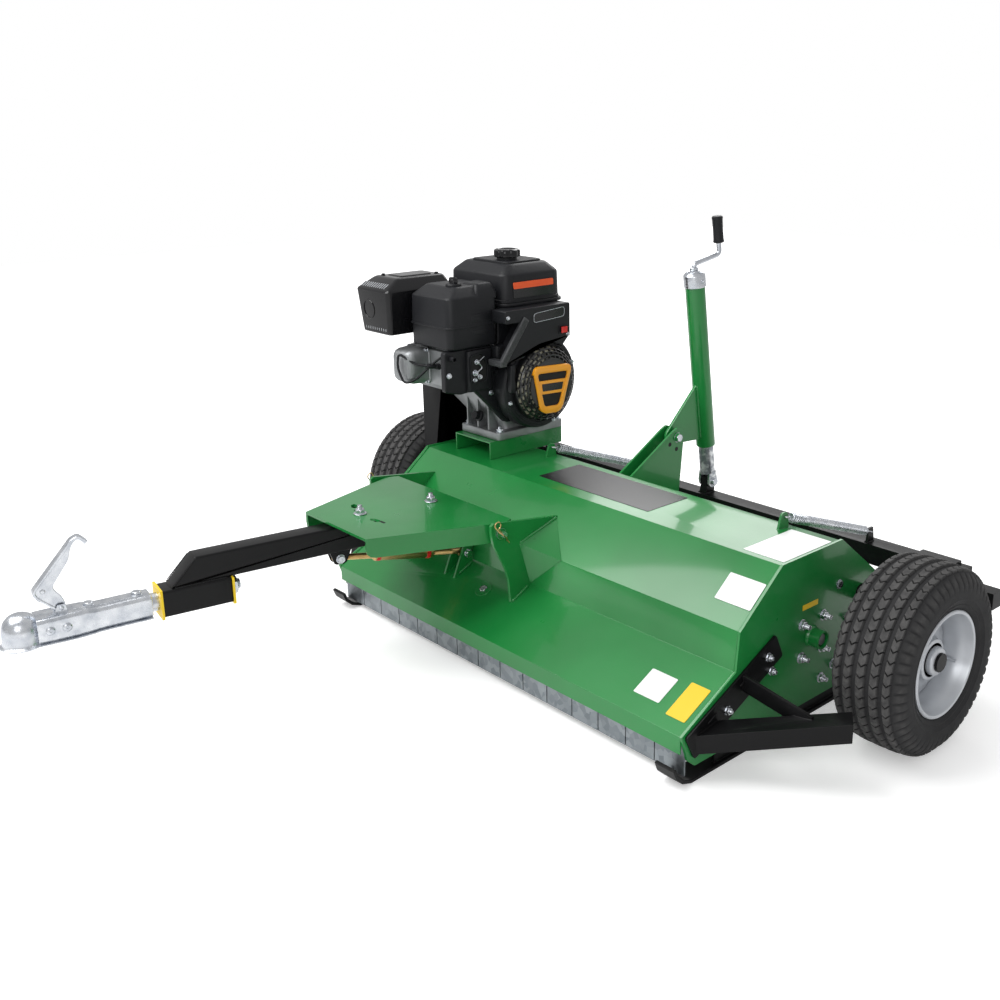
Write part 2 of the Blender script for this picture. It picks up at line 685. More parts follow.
# Flap rod under the lip, and the row of hinged flaps
piece("flap_rod", turned([(0, -hood_half), (FLAP_ROD, -hood_half), (FLAP_ROD, hood_half), (0, hood_half)], 8,
                         "X", (FLAP_Y, FLAP_Z)), STEEL)
flap_pitch = 2 * hood_half / FLAPS
tongue_top = math.sqrt(FLAP_BARREL ** 2 - (FLAP_SHEET / 2) ** 2)
start_angle = math.atan2(-tongue_top, FLAP_SHEET / 2)
arc_span = 2 * math.pi - 2 * math.asin(FLAP_SHEET / 2 / FLAP_BARREL)
flap_arc = [(FLAP_Y + FLAP_BARREL * math.cos(start_angle + i * arc_span / 8),
             FLAP_Z + FLAP_BARREL * math.sin(start_angle + i * arc_span / 8)) for i in range(9)]
flap_line = flap_arc + [(FLAP_Y - FLAP_SHEET / 2, FLAP_BOTTOM), (FLAP_Y + FLAP_SHEET / 2, FLAP_BOTTOM)]
for index in range(FLAPS):
    left = -hood_half + index * flap_pitch + FLAP_GAP / 2
    solid = prism([flap_line, bore((FLAP_Y, FLAP_Z), FLAP_ROD, 6)], left,
                  left + flap_pitch - FLAP_GAP)
    piece(f"flap_{index + 1:02d}", solid, GALVANISED, (left, FLAP_Y, FLAP_Z))

# Skids: a curved runner on the ground and a web bolted inside the side plate
skid_front = [(-0.022, 0.046), (-0.014, 0.026), (0.004, 0.009), (0.030, 0.0)]
skid_back = [(0.580, 0.0), (0.606, 0.007), (0.628, 0.022)]
skid_low = skid_front + skid_back
skid_high = offset_line(skid_low, SKID_SHEET)
skid_outer = DECK_HALF_WIDTH + 0.002
web_outer = side_inner - FIT
runner = prism([skid_low + skid_high[::-1]], skid_outer - SKID_WIDTH, skid_outer)
flap_reach = FLAP_Y + FLAP_Z - FLAP_BOTTOM
web = prism([[(flap_reach + 0.012, SKID_SHEET - 0.002), (0.590, SKID_SHEET - 0.002), (0.604, 0.030),
              (0.570, SKID_HEIGHT), (flap_reach + 0.040, SKID_HEIGHT), (flap_reach + 0.012, 0.040)]],
            web_outer - SKID_WEB, web_outer)
skid_solid = weld(runner, web)
piece("skid_right", skid_solid, BLACK)
piece("skid_left", mirrored(skid_solid), BLACK)

# Wheel guards: a bar along the side plate's front edge, a swept tube arm and a strut
bar_along = Vector((math.cos(BAR_SLOPE), math.sin(BAR_SLOPE)))
bar_across = Vector((math.sin(BAR_SLOPE), -math.cos(BAR_SLOPE)))
bar_corner = Vector(BAR_START)
bar_line = [tuple(bar_corner), tuple(bar_corner + bar_across * BAR_WIDTH),
            tuple(bar_corner + bar_across * BAR_WIDTH + bar_along * BAR_LENGTH),
            tuple(bar_corner + bar_along * BAR_LENGTH)]
bar_inner = DECK_HALF_WIDTH + FIT
bar_solid = prism([rounded(bar_line, 0.006, 2)], bar_inner, bar_inner + BAR_SHEET)
root_x = bar_inner + BAR_SHEET / 2
arm_tops = [((root_x, ARM_NEAR_Y, ARM_NEAR_Z), ARM_TIP_NEAR), ((root_x, ARM_FAR_Y, ARM_FAR_Z), ARM_TIP_FAR)]
arm_solid = hexahedron([[arm_tops[0][end], arm_tops[1][end],
                         (*arm_tops[1][end][:2], arm_tops[1][end][2] - ARM_HEIGHT),
                         (*arm_tops[0][end][:2], arm_tops[0][end][2] - ARM_HEIGHT)] for end in (0, 1)])
strut_solid = hexahedron([[(x, y - STRUT_SHEET / 2, z + STRUT_HEIGHT / 2),
                           (x, y + STRUT_SHEET / 2, z + STRUT_HEIGHT / 2),
                           (x, y + STRUT_SHEET / 2, z - STRUT_HEIGHT / 2),
                           (x, y - STRUT_SHEET / 2, z - STRUT_HEIGHT / 2)]
                          for x, y, z in ((root_x, *STRUT_START), STRUT_TIP)])
guard_solid = weld(bar_solid, arm_solid, strut_solid)
piece("wheel_guard_right", guard_solid, BLACK)
piece("wheel_guard_left", mirrored(guard_solid), BLACK)

# Engine bed: a channel welded to the deck's top
bed_low = hood_top + FIT
bed_line = [(BED_LEFT, bed_low), (BED_LEFT + BED_SHEET, bed_low),
            (BED_LEFT + BED_SHEET, BED_TOP - BED_SHEET),
            (BED_RIGHT - BED_SHEET, BED_TOP - BED_SHEET), (BED_RIGHT - BED_SHEET, bed_low),
            (BED_RIGHT, bed_low), (BED_RIGHT, BED_TOP), (BED_LEFT, BED_TOP)]
piece("engine_bed", prism([bed_line], BED_FRONT, BED_REAR, "Y"), GREEN)


def on_engine(solid):
    """Solid drawn in the engine's frame, moved to the engine's place on the deck."""
    return placed(solid, Matrix.Translation((ENGINE_X, 0, 0)))


# Engine: block with cylinder and head
foot_left = BLOCK_LEFT + 0.060
block_parts = [stacked([(BED_TOP + FIT, foot_left, BLOCK_RIGHT + 0.025, 0.366, 0.598),
                        (BED_TOP + 0.022, foot_left, BLOCK_RIGHT + 0.025, 0.366, 0.598)], 0.010, 1),
               stacked([(BED_TOP + 0.010, foot_left + 0.010, BLOCK_RIGHT, 0.405, 0.580),
                        (0.460, foot_left + 0.006, BLOCK_RIGHT, 0.400, 0.585),
                        (0.520, BLOCK_LEFT, BLOCK_RIGHT, 0.375, 0.590),
                        (0.660, BLOCK_LEFT, BLOCK_RIGHT, 0.375, 0.590),
                        (0.690, BLOCK_LEFT + 0.02, BLOCK_RIGHT - 0.01, 0.400, 0.570)], 0.020, 2),
               stacked([(0.574, -0.185, -0.020, 0.250, 0.390), (0.680, -0.185, -0.020, 0.250, 0.390)],
                       0.012, 1)]
for index in range(4):
    fin_y = 0.268 + index * 0.024
    block_parts.append(prism([box_line(-0.1925, -0.010, 0.568, FIN_TOP)], fin_y, fin_y + 0.008, "Y"))
block_parts.append(stacked([(0.252, -0.191, -0.100, 0.582, 0.676), (0.200, -0.187, -0.104, 0.584, 0.674),
                            (0.186, -0.179, -0.112, 0.592, 0.666)], 0.014, 2, "Y"))
piece("engine_block", on_engine(weld(*block_parts)), CAST)

# Fan shroud with its lower wing and the control box under the tank
shroud_back = BLOCK_RIGHT + FIT
wing_front = CLEANER_REAR + CLEANER_CLEARANCE
shroud_parts = [turned([(0, shroud_back), (SHROUD_RADIUS - 0.012, shroud_back),
                        (SHROUD_RADIUS, shroud_back + 0.02),
                        (SHROUD_RADIUS, SHROUD_FACE - 0.006), (SHROUD_RADIUS - 0.008, SHROUD_FACE),
                        (0, SHROUD_FACE)], 24, "X", (CRANK_Y, CRANK_Z)),
                stacked([(CLEANER_RIGHT + CLEANER_CLEARANCE, BOX_FRONT, BOX_REAR, 0.640, BOX_TOP),
                         (SHROUD_FACE - 0.002, BOX_FRONT, BOX_REAR, 0.640, BOX_TOP),
                         (SHROUD_FACE - 0.001, BOX_FRONT, BOX_REAR, 0.680, BOX_TOP),
                         (BOX_FACE - 0.008, BOX_FRONT, BOX_REAR, 0.680, BOX_TOP),
                         (BOX_FACE, BOX_FRONT + 0.006, BOX_REAR - 0.006, 0.690, BOX_TOP - 0.005)], 0.010, 1,
                        "X"),
                prism([rounded([(0.232, 0.565), (0.360, 0.556), (0.440, 0.470), (0.480, 0.470),
                                (0.480, BOX_TOP - 0.010), (wing_front, BOX_TOP - 0.010),
                                (wing_front, 0.680), (0.232, 0.680)], 0.010, 1)],
                      shroud_back, shroud_back + 0.014)]
piece("fan_shroud", on_engine(weld(*shroud_parts)), PLASTIC)

# Recoil starter
recoil_line = [(0, SHROUD_FACE + FIT), (RECOIL_RADIUS, SHROUD_FACE + FIT),
               (RECOIL_RADIUS, SHROUD_FACE + 0.018),
               (RECOIL_RADIUS - 0.006, SHROUD_FACE + 0.030), (RECOIL_RADIUS - 0.024, DOME_FACE),
               (0, DOME_FACE)]
piece("recoil_cover", on_engine(turned(recoil_line, 24, "X", (CRANK_Y, CRANK_Z))), BLACK)
grip_x = SHROUD_FACE + 0.0127
grip_y = CRANK_Y - RECOIL_RADIUS - 0.0125
grip_line = [(0, 0.568), (0.009, 0.570), (0.012, 0.580), (0.0105, 0.604), (0.012, 0.628), (0.009, 0.638),
             (0, 0.640)]
piece("recoil_grip", on_engine(turned(grip_line, 10, "Z", (grip_x, grip_y))), PLASTIC,
      (ENGINE_X + grip_x, grip_y, 0.604))

# Fuel tank and its cap
tank_steps = [(TANK_BASE, 0.008), (TANK_BASE + 0.016, 0), (TANK_TOP - 0.026, 0.002),
              (TANK_TOP - 0.006, 0.018), (TANK_TOP, 0.032)]
tank_parts = [stacked([(level, TANK_LEFT + step, TANK_RIGHT - step, TANK_FRONT + step, TANK_REAR - step)
                       for level, step in tank_steps], 0.026, 2)]
cap_place = (-0.040, 0.466)
tank_parts.append(turned([(0, TANK_TOP - 0.002), (0.024, TANK_TOP - 0.002), (0.024, TANK_TOP + 0.006),
                          (0, TANK_TOP + 0.006)], 12, "Z", cap_place))
piece("fuel_tank", on_engine(weld(*tank_parts)), PLASTIC)
cap_low = TANK_TOP + 0.006 + FIT
cap_line = [(0, cap_low), (CAP_RADIUS - 0.003, cap_low), (CAP_RADIUS, cap_low + 0.004),
            (CAP_RADIUS, cap_low + 0.018),
            (CAP_RADIUS - 0.005, cap_low + 0.023), (0, cap_low + 0.023)]
piece("fuel_cap", on_engine(turned(cap_line, 16, "Z", cap_place)), PLASTIC,
      (ENGINE_X + cap_place[0], cap_place[1], cap_low))

# Air cleaner and silencer box
cleaner_steps = [(0.688, 0.008, 0.010, 0.010, 0.008), (0.700, 0, 0, 0, 0),
                 (0.818, 0.002, 0.005, 0.005, 0.002), (0.848, 0.025, 0.028, 0.044, 0.012)]
cleaner_parts = [stacked([(level, CLEANER_LEFT + left, CLEANER_RIGHT - right, CLEANER_FRONT + front,
                           CLEANER_REAR - rear)
                          for level, left, right, front, rear in cleaner_steps], 0.020, 2),
                 turned([(0, 0.844), (0.016, 0.844), (0.016, 0.857), (0.010, 0.862), (0, 0.862)], 10, "Z",
                        (-0.070, 0.300)),
                 stacked([(FIN_TOP + FIT, -0.095, -0.025, 0.300, 0.350),
                          (0.692, -0.095, -0.025, 0.300, 0.350)], 0.008, 1)]
piece("air_cleaner", on_engine(weld(*cleaner_parts)), PLASTIC)
muffler_parts = [stacked([(0.710, -0.281, -0.161, 0.172, 0.352), (0.718, -0.285, -0.155, 0.165, 0.360),
                          (0.822, -0.299, -0.149, 0.160, 0.368), (0.854, -0.275, -0.171, 0.205, 0.358)],
                         0.014, 2),
                 stacked([(FIN_TOP + FIT, -0.190, -0.164, 0.290, 0.335),
                          (0.720, -0.190, -0.164, 0.290, 0.335)], 0.006, 1)]
piece("muffler", on_engine(weld(*muffler_parts)), BLACK)

# Throttle lever on the shroud wing, and the ignition rocker on the control box
lever_x = shroud_back + 0.014 + FIT
lever_y, lever_z = 0.330, 0.640
lever_parts = [turned([(0, lever_x), (0.008, lever_x), (0.008, lever_x + 0.010), (0, lever_x + 0.010)], 10,
                      "X",
                      (lever_y, lever_z)),
               prism([rounded([(lever_y - 0.005, lever_z), (lever_y + 0.005, lever_z),
                               (lever_y - 0.028, lever_z + 0.036),
                               (lever_y - 0.040, lever_z + 0.032)], [0, 0, 0.005, 0.005], 2)],
                     lever_x + 0.005, lever_x + 0.009)]
piece("throttle_lever", on_engine(weld(*lever_parts)), STEEL, (ENGINE_X + lever_x, lever_y, lever_z))
switch_y, switch_z = 0.545, 0.712
switch_back = BOX_FACE + FIT
switch_line = [(switch_back, switch_y), (switch_back + 0.003, switch_y - 0.012),
               (switch_back + 0.009, switch_y - 0.012),
               (switch_back + 0.006, switch_y), (switch_back + 0.009, switch_y + 0.012),
               (switch_back + 0.003, switch_y + 0.012)]
piece("engine_switch", on_engine(prism([switch_line], switch_z - 0.009, switch_z + 0.009, "Z")), RED,
      (ENGINE_X + switch_back, switch_y, switch_z))

# Hitch ears: welded to the hood, each with a three-sided brace on its outer side
ear_front = [(0.103, height_on(hood_seat, 0.103)), (0.0985, 0.215), (0.088, 0.250), (0.0716, 0.282),
             (0.056, 0.312),
             (0.050, 0.340), (0.050, 0.360), (0.058, 0.366)]
ear_back = [(0.252, height_on(hood_seat[3:], 0.252)), hood_seat[3], hood_seat[2]]
hinge = (HINGE_Y, HINGE_Z)
ear_gap = HITCH_REAR_HALF + EAR_GAP
for hand, side in (("right", 1), ("left", -1)):
    inner = HITCH_X + side * ear_gap
    outer = inner + side * EAR_SHEET
    ear_plate = prism([ear_front + ear_back], min(inner, outer), max(inner, outer))
    brace_x = outer - side * 0.002
    brace_reach = min(EAR_REACH, side_inner - abs(outer) - EDGE_CLEARANCE)
    brace_tip = (brace_x, 0.130, 0.300)
    brace_top = (brace_x, 0.250, height_on(hood_seat[3:], 0.250))
    brace_out = (outer + side * brace_reach, hood_seat[3][0] - 0.0003, hood_seat[3][1] + 0.0008)
    brace_low = (brace_x, hood_seat[2][0] - 0.0004, hood_seat[2][1] + 0.0006)
    brace_mid = (brace_x, hood_seat[3][0] - 0.0003, hood_seat[3][1] + 0.0003)
    brace = ([brace_tip, brace_top, brace_out, brace_low, brace_mid],
             [(0, 2, 1), (0, 3, 2), (1, 2, 4), (2, 3, 4), (0, 1, 4), (0, 4, 3)])
    pin_in = inner - side * (EAR_GAP + HITCH_SHEET + 0.010)
    pin_out = outer + side * 0.016
    pin = turned([(0, pin_in), (HITCH_PIN, pin_in), (HITCH_PIN, outer), (0.0125, outer + side * 0.0005),
                  (0.0125, outer + side * 0.004), (HITCH_PIN, outer + side * 0.004), (HITCH_PIN, pin_out),
                  (0, pin_out)], 12, "X", hinge)
    piece(f"hitch_ear_{hand}", weld(ear_plate, brace, pin), GREEN)

# Jack bracket: twin plates on the rear slope, joined by a web, with the tilt pin
seat_shoulder = hood_seat[6]
bracket_line = [(0.520, height_on(hood_seat, 0.520)), (seat_shoulder[0], seat_shoulder[1]),
                (seat_shoulder[0], seat_shoulder[1] - 0.022), (0.700, 0.246), (0.708, 0.300), (0.722, 0.434)]
pin_arc = [(JACK_PIN[0] + 0.026 * math.cos(math.radians(a)), JACK_PIN[1] + 0.026 * math.sin(math.radians(a)))
           for a in (10, 50, 90, 135)]
bracket_line += pin_arc
bracket_half = BRACKET_SPREAD / 2
bracket_parts = []
for side in (-1, 1):
    middle = JACK_X + side * bracket_half
    bracket_parts.append(prism([bracket_line], middle - BRACKET_SHEET / 2, middle + BRACKET_SHEET / 2))
web_line = [(0.540, height_on(hood_seat, 0.540) + 0.001), (0.648, height_on(hood_seat, 0.648) + 0.001),
            (0.648, height_on(hood_seat, 0.648) + 0.007), (0.540, height_on(hood_seat, 0.540) + 0.007)]
bracket_parts.append(prism([web_line], JACK_X - bracket_half, JACK_X + bracket_half))
pin_reach = bracket_half + BRACKET_SHEET / 2 + 0.008
bracket_parts.append(turned([(0, JACK_X - pin_reach), (0.012, JACK_X - pin_reach),
                             (0.012, JACK_X - pin_reach + 0.009),
                             (JACK_PIN_RADIUS, JACK_X - pin_reach + 0.009),
                             (JACK_PIN_RADIUS, JACK_X + pin_reach - 0.009),
                             (0.012, JACK_X + pin_reach - 0.009), (0.012, JACK_X + pin_reach),
                             (0, JACK_X + pin_reach)], 12, "X", JACK_PIN))
piece("jack_bracket", weld(*bracket_parts), GREEN)

# Height jack, drawn in its own frame: origin on the tilt pin, Z up along the tube
pin_to_clevis = Vector((CLEVIS_PIN[0] - JACK_PIN[0], CLEVIS_PIN[1] - JACK_PIN[1]))
jack_up = Vector((-math.sin(JACK_LEAN), math.cos(JACK_LEAN)))
jack_back = Vector((math.cos(JACK_LEAN), math.sin(JACK_LEAN)))
jack_offset = pin_to_clevis.dot(jack_back)
clevis_z = pin_to_clevis.dot(jack_up)
tube_low = clevis_z + JACK_TUBE_RISE
tube_high = tube_low + JACK_TUBE_LENGTH
cap_high = tube_high + JACK_CAP_HEIGHT
jack_pivot = (JACK_X, *JACK_PIN)
jack_rotation = (JACK_LEAN, 0.0, 0.0)
axis_place = (0.0, jack_offset)
tube_line = [(JACK_BORE, tube_low), (JACK_TUBE, tube_low), (JACK_TUBE, tube_high), (JACK_CAP, tube_high),
             (JACK_CAP, cap_high - 0.004), (JACK_CAP - 0.004, cap_high), (CRANK_ROD + FIT, cap_high),
             (CRANK_ROD + FIT, tube_high), (JACK_BORE, tube_high)]
fin_edge = jack_offset - JACK_TUBE + 0.004
fin_half = 0.004
pin_hole = (JACK_PIN_RADIUS + FIT) / math.cos(math.pi / 8)
eye_arc = [(0.023 * math.cos(math.radians(a)), 0.023 * math.sin(math.radians(a))) for a in (130, 170, 210,
                                                                                            250)]
fin_line = [(fin_edge, 0.112)] + eye_arc + [(fin_edge, -0.046)]
fin_boss = bracket_half - BRACKET_SHEET / 2 - 0.0006
tube_solid = weld(turned(tube_line, JACK_SIDES, "Z", axis_place, closed=True),
                  prism([fin_line, circle((0, 0), pin_hole, 8, math.pi / 8)], -fin_half, fin_half),
                  turned([(pin_hole, -fin_boss), (0.014, -fin_boss), (0.014, fin_boss),
                          (pin_hole, fin_boss)],
                         8, "X", (0, 0), closed=True, turn=math.pi / 8))
piece("jack_tube", tube_solid, GREEN, jack_pivot, jack_rotation, local=True)

rod_top = clevis_z + 0.340
clevis_hole = JACK_PIN_RADIUS + CLEVIS_PLAY
clevis_line = [(jack_offset - 0.018, clevis_z + 0.052), (jack_offset - 0.018, clevis_z)]
clevis_line += [(jack_offset + 0.018 * math.cos(math.radians(a)),
                 clevis_z + 0.018 * math.sin(math.radians(a)))
                for a in (225, 270, 315)]
clevis_line += [(jack_offset + 0.018, clevis_z), (jack_offset + 0.018, clevis_z + 0.052)]
inner_parts = [turned([(0, clevis_z + 0.045), (JACK_ROD, clevis_z + 0.045), (JACK_ROD, rod_top),
                       (0, rod_top)], JACK_SIDES,
                      "Z", axis_place),
               prism([box_line(jack_offset - 0.018, jack_offset + 0.018, clevis_z + 0.032,
                               clevis_z + 0.052)],
                     -0.019, 0.019)]
for side in (-1, 1):
    inner_parts.append(prism([clevis_line, circle((jack_offset, clevis_z), clevis_hole, 8)],
                             min(side * 0.013, side * 0.019), max(side * 0.013, side * 0.019)))
piece("jack_inner", weld(*inner_parts), ZINC, jack_pivot, jack_rotation, local=True)


def bent_path(points, radius, steps=4):
    """Points of a path whose inner corners are rounded."""
    line = [Vector(points[0])]
    for before, corner, after in zip(points, points[1:], points[2:]):
        before, corner, after = Vector(before), Vector(corner), Vector(after)
        start = corner + (before - corner).normalized() * radius
        end = corner + (after - corner).normalized() * radius
        for index in range(steps + 1):
            t = index / steps
            line.append((1 - t) ** 2 * start + 2 * t * (1 - t) * corner + t ** 2 * end)
    line.append(Vector(points[-1]))
    return line


# The crank turns about the tube's axis, so its frame's origin lies on that axis
crank_level = cap_high + 0.016
arm_end = (CRANK_ARM * math.sin(-CRANK_TURN), CRANK_ARM * math.cos(CRANK_TURN))
crank_path = bent_path([(0, 0, tube_high - 0.060), (0, 0, crank_level), (*arm_end, crank_level + 0.012),
                        (*arm_end, crank_level + CRANK_RISE)], 0.012)
crank_pivot = (JACK_X, JACK_PIN[0] + jack_back.x * jack_offset, JACK_PIN[1] + jack_back.y * jack_offset)
collar = turned([(0, cap_high + FIT), (0.011, cap_high + FIT), (0.011, cap_high + 0.009),
                 (0, cap_high + 0.009)],
                8, "Z")
piece("crank_handle", weld(swept(crank_path, CRANK_ROD, 8), collar), ZINC, crank_pivot, jack_rotation,
      local=True)
grip_low = crank_level + CRANK_RISE - GRIP_LENGTH + 0.008
grip_high = grip_low + GRIP_LENGTH
grip_bore = CRANK_ROD + FIT * 2
grip_profile = [(0, grip_high), (GRIP_RADIUS - 0.004, grip_high), (GRIP_RADIUS, grip_high - 0.005),
                (GRIP_RADIUS - 0.001, grip_low + 0.004), (GRIP_RADIUS - 0.004, grip_low),
                (grip_bore, grip_low),
                (grip_bore, crank_level + CRANK_RISE + FIT), (0, crank_level + CRANK_RISE + FIT)]
grip_turn = Matrix.Rotation(JACK_LEAN, 4, "X")
grip_place = Vector(crank_pivot) + grip_turn @ Vector((*arm_end, 0))
piece("crank_grip", turned(grip_profile, 14, "Z"), PLASTIC, tuple(grip_place), jack_rotation, local=True)

# Axle frame: rear beam, arm plates, pivot sleeves and pins, stub axles and lugs
beam_front = BEAM_Y - BEAM_SIZE / 2
beam_back = BEAM_Y + BEAM_SIZE / 2
beam_low = BEAM_TOP - BEAM_SIZE
axle_parts = [prism([box_line(beam_front, beam_back, beam_low, BEAM_TOP)], -ARM_INNER_X - 0.002,
                    ARM_INNER_X + 0.002)]
arm_line = [(WHEEL_Y - 0.034, TYRE_RADIUS + 0.014), (WHEEL_Y - 0.034, TYRE_RADIUS - 0.016),
            (WHEEL_Y - 0.014, TYRE_RADIUS - 0.034), (WHEEL_Y + 0.020, TYRE_RADIUS - 0.030),
            (PIVOT_Y, PIVOT_Z - 0.038), (beam_front, beam_low), (beam_back, beam_low), (beam_back, BEAM_TOP),
            (beam_front, BEAM_TOP), (PIVOT_Y, PIVOT_Z + 0.038), (WHEEL_Y - 0.010, TYRE_RADIUS + 0.034)]
for side in (-1, 1):
    span = sorted((side * ARM_INNER_X, side * (ARM_INNER_X + ARM_PLATE)))
    axle_parts.append(prism([arm_line], *span))
    sleeve_in = side * (DECK_HALF_WIDTH + FIT)
    axle_parts.append(turned([(0, side * (ARM_INNER_X + 0.004)), (SLEEVE, side * (ARM_INNER_X + 0.004)),
                              (SLEEVE, sleeve_in), (PIVOT_PIN, sleeve_in),
                              (PIVOT_PIN, side * (side_inner - 0.012)), (0, side * (side_inner - 0.012))],
                             12, "X", (PIVOT_Y, PIVOT_Z)))
    axle_parts.append(turned([(0, side * (ARM_INNER_X + 0.002)), (STUB, side * (ARM_INNER_X + 0.002)),
                              (STUB, side * STUB_REACH), (0, side * STUB_REACH)], 12, "X",
                             (WHEEL_Y, TYRE_RADIUS)))
    bar = sorted((side * 0.600, side * REAR_BAR_REACH))
    axle_parts.append(prism([box_line(BEAM_Y - 0.020, BEAM_Y + 0.020, beam_low - 0.022,
                                      beam_low - 0.022 + REAR_BAR_HEIGHT)], *bar))
    cap = sorted((side * 0.600, side * 0.700))
    axle_parts.append(prism([box_line(beam_front - 0.003, beam_back - 0.003, BEAM_TOP - 0.001,
                                      BEAM_TOP + CAP_PLATE)], *cap))
clevis_lug = [(CLEVIS_PIN[0] - 0.022, BEAM_TOP - 0.002), (CLEVIS_PIN[0] + 0.014, BEAM_TOP - 0.002)]
clevis_lug += [(CLEVIS_PIN[0] + 0.015 * math.cos(math.radians(a)),
                CLEVIS_PIN[1] + 0.015 * math.sin(math.radians(a)))
               for a in (0, 45, 90, 135, 180)]
axle_parts.append(prism([clevis_lug], JACK_X - 0.0115, JACK_X + 0.0115))
axle_parts.append(turned([(0, JACK_X - 0.024), (JACK_PIN_RADIUS, JACK_X - 0.024),
                          (JACK_PIN_RADIUS, JACK_X + 0.024),
                          (0, JACK_X + 0.024)], 8, "X", CLEVIS_PIN))
for spring_x in SPRING_X:
    lug_line = [(SPRING_BEAM[0] - 0.012, BEAM_TOP - 0.002), (SPRING_BEAM[0] + 0.016, BEAM_TOP - 0.002),
                (SPRING_BEAM[0] + 0.010, SPRING_BEAM[1] + 0.010),
                (SPRING_BEAM[0] - 0.008, SPRING_BEAM[1] + 0.010)]
    axle_parts.append(prism([lug_line, circle(SPRING_BEAM, SPRING_EYE, 8)], spring_x - SPRING_LUG / 2,
                            spring_x + SPRING_LUG / 2))
piece("axle_frame", weld(*axle_parts), BLACK, (0.0, PIVOT_Y, PIVOT_Z))

# Wheels: a tyre with a ribbed tread on a pressed rim, turning on the stub axle
half = TYRE_WIDTH / 2
wheel_centre = (WHEEL_Y, TYRE_RADIUS)
bead_face = half - 0.014


def crown(place):
    """Radius of the tread at a place across the tyre: an arc that falls away towards its edges."""
    swing = math.asin(place / TREAD_HALF * math.sin(TREAD_TURN))
    return TYRE_RADIUS - TREAD_DROP * (1 - math.cos(swing)) * abs(math.sin(swing))


tread_line = [(crown(-TREAD_HALF), -TREAD_HALF)]
for index in range(1, TREAD_RIBS):
    swing = TREAD_TURN * (2 * index / TREAD_RIBS - 1)
    groove = TREAD_HALF * math.sin(swing) / math.sin(TREAD_TURN)
    for shift, depth in ((-GROOVE_WIDTH / 2, 0), (0, GROOVE_DEPTH), (GROOVE_WIDTH / 2, 0)):
        tread_line.append((crown(groove + shift) - depth, groove + shift))
tread_line.append((crown(TREAD_HALF), TREAD_HALF))
tyre_line = [(BEAD_RADIUS, -bead_face), (BEAD_RADIUS + 0.013, -bead_face), (0.145, -half),
             (0.180, -half + 0.006), *tread_line, (0.180, half - 0.006), (0.145, half),
             (BEAD_RADIUS + 0.013, bead_face), (BEAD_RADIUS, bead_face), (BEAD_RADIUS, bead_face - 0.024),
             (0.150, half - 0.050), (0.150, -half + 0.050), (BEAD_RADIUS, -bead_face + 0.024)]
seat = BEAD_RADIUS - FIT
hub_bore = (STUB + FIT) / math.cos(math.pi / WHEEL_SIDES)
flange_in = bead_face + FIT
flange_out = flange_in + RIM_SHEET
rim_line = [(seat + 0.010, flange_in), (seat + 0.010, flange_out), (seat - RIM_SHEET, flange_out),
            (0.080, half - 0.058), (0.040, half - 0.050), (0.040, half - 0.022), (hub_bore, half - 0.022),
            (hub_bore, -half + 0.030), (0.036, -half + 0.030), (0.036, half - 0.072),
            (seat - RIM_SHEET, half - 0.070), (seat - RIM_SHEET, -flange_out),
            (seat + 0.010, -flange_out), (seat + 0.010, -flange_in), (seat, -flange_in), (seat, flange_in)]
for hand, side in (("right", 1), ("left", -1)):
    pivot = (side * WHEEL_X, *wheel_centre)
    for name, line, finish in ((f"tyre_{hand}", tyre_line, RUBBER), (f"rim_{hand}", rim_line, RIM_SILVER)):
        solid = turned([(radius, side * place) for radius, place in line], WHEEL_SIDES, "X", closed=True)
        piece(name, solid, finish, pivot, local=True)


def spring_path(start, end, x):
    """Close-wound coil between two eyes: a wire through each eye, then a helix about the line between."""
    start, end = Vector((x, *start)), Vector((x, *end))
    along = (end - start).normalized()
    up = Vector((1, 0, 0)).cross(along).normalized()
    out = Vector((1, 0, 0))
    wire_reach = 0.010
    first = start + along * SPRING_HOOK
    last = end - along * SPRING_HOOK
    path = [start - out * wire_reach, start - out * wire_reach / 2, start + out * wire_reach / 2,
            start + out * wire_reach * 0.8 + along * wire_reach / 2]
    span = (last - first).length
    total = SPRING_CURLS * SPRING_POINTS
    for index in range(total + 1):
        turn_angle = 2 * math.pi * index / SPRING_POINTS
        ease = min(1.0, (index + 2) / 6, (total - index + 2) / 6)
        radius = SPRING_RADIUS * ease
        path.append(first + along * span * index / total
                    + (out * math.cos(turn_angle) + up * math.sin(turn_angle)) * radius)
    path += [end + out * wire_reach * 0.8 - along * wire_reach / 2, end + out * wire_reach / 2,
             end - out * wire_reach / 2, end - out * wire_reach]
    return path


def least_gap(path, wire, skip):
    """Least free space between stretches of a wound wire, measured between its points."""
    points = np.array([tuple(point) for point in path])
    apart = np.linalg.norm(points[:, None, :] - points[None, :, :], axis=2)
    index = np.arange(len(points))
    apart[np.abs(index[:, None] - index[None, :]) < skip] = np.inf
    return float(apart.min()) - 2 * wire


for hand, spring_x in zip(("left", "right"), SPRING_X):
    route = spring_path(SPRING_DECK, SPRING_BEAM, spring_x)
    print("spring", hand, "least gap to itself, mm:", round(least_gap(route, SPRING_WIRE, 5) * 1000, 2))
    piece(f"spring_{hand}", swept(route, SPRING_WIRE, 6), ZINC, (spring_x, *SPRING_DECK))

# Hitch plate, drawn from the hinge rod: a flanged trapezoid with the pivot hole and the lock slot
plate_high = HITCH_TOP
plate_base = HITCH_TOP - HITCH_SHEET
draw_pivot_local = DRAW_PIVOT_Y - HINGE_Y
slot_half = BOLT + BOLT_CLEARANCE


